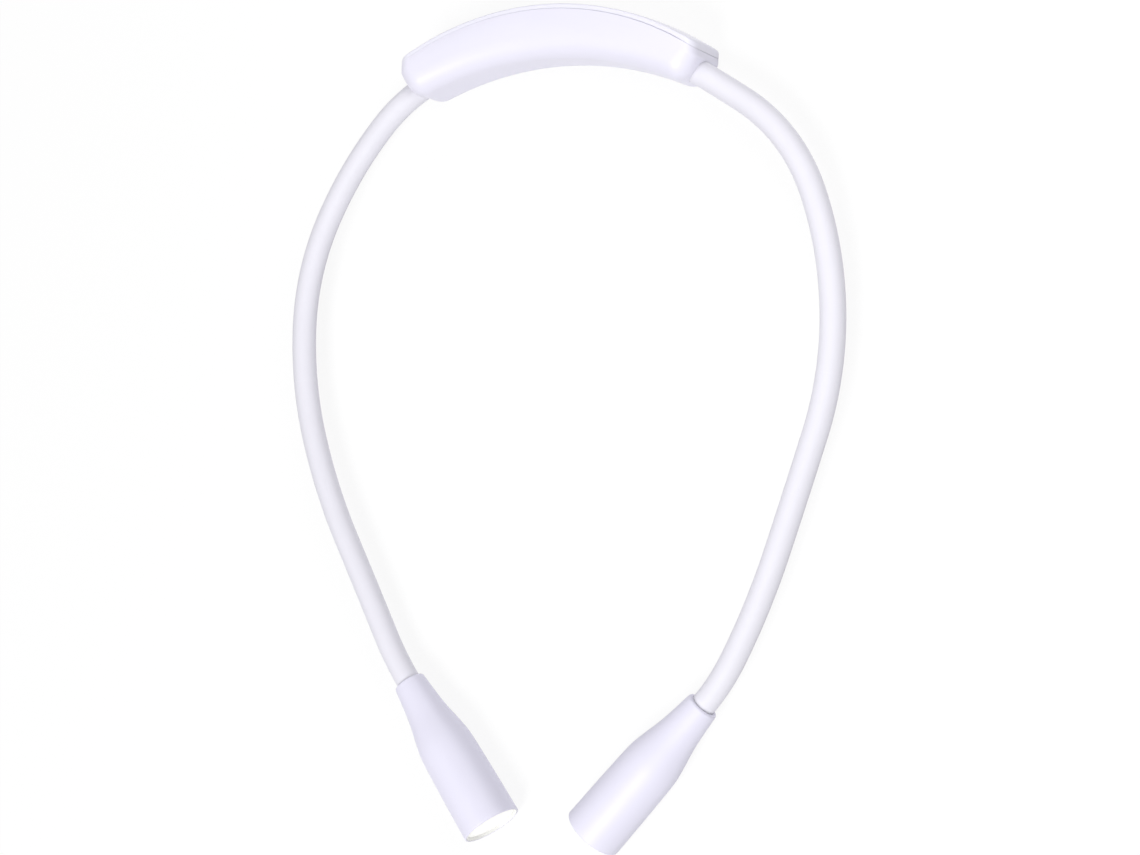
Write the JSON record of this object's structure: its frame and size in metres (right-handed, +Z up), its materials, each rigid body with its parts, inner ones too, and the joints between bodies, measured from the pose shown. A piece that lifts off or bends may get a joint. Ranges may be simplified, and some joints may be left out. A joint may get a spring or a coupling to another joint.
{
  "type": "neck reading light",
  "caption": "Neck-worn reading light: a curved battery housing with two bendable gooseneck arms, each ending in a tapered lamp head with a round frosted lens.",
  "frame": {"origin": "on the housing's flat underside, in the middle of its span and its depth", "axes": "+Z up from the table that the light lies on; +Y from the lamp heads to the housing; +X towards the right arm, seen with the lamps nearer"},
  "size_m": [0.2014, 0.2686, 0.0233],
  "materials": {
    "housing": "satin lavender-white",
    "shell": "satin lavender-white, soft to the touch",
    "sleeve": "smooth matt silicone",
    "core": "bare",
    "anchor": "bare",
    "lens": "frosted, lit from behind",
    "reflector": "white",
    "board": "green solder mask",
    "led": "yellow phosphor",
    "lead": "insulation",
    "battery": "foil pouch",
    "steel": "plated",
    "black": "moulded",
    "button": "matt",
    "window": "clear"
  },
  "bodies": {
    "housing": {"battery": "battery", "battery_lead": "lead", "charge_port_shell": "steel", "charge_port_tongue": "black", "circuit_board": "board", "housing_body": "housing", "housing_cover": "housing", "indicator_window": "window", "left_arm_lead": "lead", "left_core_1": "core", "left_rear_anchor": "anchor", "left_sleeve_1": "sleeve", "left_switch_body": "steel", "right_arm_lead": "lead", "right_core_1": "core", "right_rear_anchor": "anchor", "right_sleeve_1": "sleeve", "right_switch_body": "steel"},
    "left_button": {"left_button": "button", "left_switch_plunger": "black"},
    "left_arm_1": {"left_core_2": "core", "left_sleeve_2": "sleeve"},
    "left_arm_2": {"left_core_3": "core", "left_sleeve_3": "sleeve"},
    "left_arm_3": {"left_core_4": "core", "left_sleeve_4": "sleeve"},
    "left_arm_4": {"left_core_5": "core", "left_sleeve_5": "sleeve"},
    "left_arm_5": {"left_core_6": "core", "left_sleeve_6": "sleeve"},
    "left_arm_6": {"left_core_7": "core", "left_sleeve_7": "sleeve", "left_front_anchor": "anchor", "left_lamp_lead": "lead", "left_lamp_shell": "shell", "left_led": "led", "left_led_board": "board", "left_lens": "lens", "left_reflector": "reflector"},
    "right_button": {"right_button": "button", "right_switch_plunger": "black"},
    "right_arm_1": {"right_core_2": "core", "right_sleeve_2": "sleeve"},
    "right_arm_2": {"right_core_3": "core", "right_sleeve_3": "sleeve"},
    "right_arm_3": {"right_core_4": "core", "right_sleeve_4": "sleeve"},
    "right_arm_4": {"right_core_5": "core", "right_sleeve_5": "sleeve"},
    "right_arm_5": {"right_core_6": "core", "right_sleeve_6": "sleeve"},
    "right_arm_6": {"right_core_7": "core", "right_sleeve_7": "sleeve", "right_front_anchor": "anchor", "right_lamp_lead": "lead", "right_lamp_shell": "shell", "right_led": "led", "right_led_board": "board", "right_lens": "lens", "right_reflector": "reflector"}
  },
  "joints": [
    {"name": "left_button_slide", "type": "slide", "parent": "housing", "child": "left_button", "axis": [0, -1, 0], "range_m": [0, 0.0004], "stiffness_N_per_m": 800, "springref_m": -0.0005},
    {"name": "left_swing_1", "type": "hinge", "parent": "housing", "child": "left_arm_1", "pos_m": [-0.06556, -0.02572, 0.01142], "axis": [0, 0, 1], "range_deg": [-25, 5]},
    {"name": "left_lift_1", "type": "hinge", "parent": "left_arm_1", "child": "left_arm_2", "pos_m": [-0.08645, -0.05687, 0.01093], "axis": [-0.9041, 0.4274, 0], "range_deg": [-25, 25]},
    {"name": "left_swing_2", "type": "hinge", "parent": "left_arm_2", "child": "left_arm_3", "pos_m": [-0.09457, -0.09333, 0.01044], "axis": [0, 0, 1], "range_deg": [-25, 11]},
    {"name": "left_lift_2", "type": "hinge", "parent": "left_arm_3", "child": "left_arm_4", "pos_m": [-0.08867, -0.13036, 0.00995], "axis": [-0.9516, -0.3074, 0], "range_deg": [-25, 25]},
    {"name": "left_swing_3", "type": "hinge", "parent": "left_arm_4", "child": "left_arm_5", "pos_m": [-0.07356, -0.16478, 0.00947], "axis": [0, 0, 1], "range_deg": [-25, 25]},
    {"name": "left_lift_3", "type": "hinge", "parent": "left_arm_5", "child": "left_arm_6", "pos_m": [-0.0563, -0.19573, 0.00901], "axis": [-0.8763, -0.4818, 0], "range_deg": [-25, 25]},
    {"name": "right_button_slide", "type": "slide", "parent": "housing", "child": "right_button", "axis": [0, -1, 0], "range_m": [0, 0.0004], "stiffness_N_per_m": 800, "springref_m": -0.0005},
    {"name": "right_swing_1", "type": "hinge", "parent": "housing", "child": "right_arm_1", "pos_m": [0.06697, -0.02381, 0.01142], "axis": [0, 0, 1], "range_deg": [-5, 25]},
    {"name": "right_lift_1", "type": "hinge", "parent": "right_arm_1", "child": "right_arm_2", "pos_m": [0.09065, -0.05228, 0.01093], "axis": [-0.9291, -0.3697, 0], "range_deg": [-25, 25]},
    {"name": "right_swing_2", "type": "hinge", "parent": "right_arm_2", "child": "right_arm_3", "pos_m": [0.09874, -0.08889, 0.01044], "axis": [0, 0, 1], "range_deg": [-11, 25]},
    {"name": "right_lift_2", "type": "hinge", "parent": "right_arm_3", "child": "right_arm_4", "pos_m": [0.09437, -0.1261, 0.00995], "axis": [-0.9583, 0.2857, 0], "range_deg": [-25, 25]},
    {"name": "right_swing_3", "type": "hinge", "parent": "right_arm_4", "child": "right_arm_5", "pos_m": [0.08332, -0.1621, 0.00947], "axis": [0, 0, 1], "range_deg": [-25, 25]},
    {"name": "right_lift_3", "type": "hinge", "parent": "right_arm_5", "child": "right_arm_6", "pos_m": [0.07023, -0.195, 0.00901], "axis": [-0.8996, 0.4368, 0], "range_deg": [-25, 25]}
  ]
}
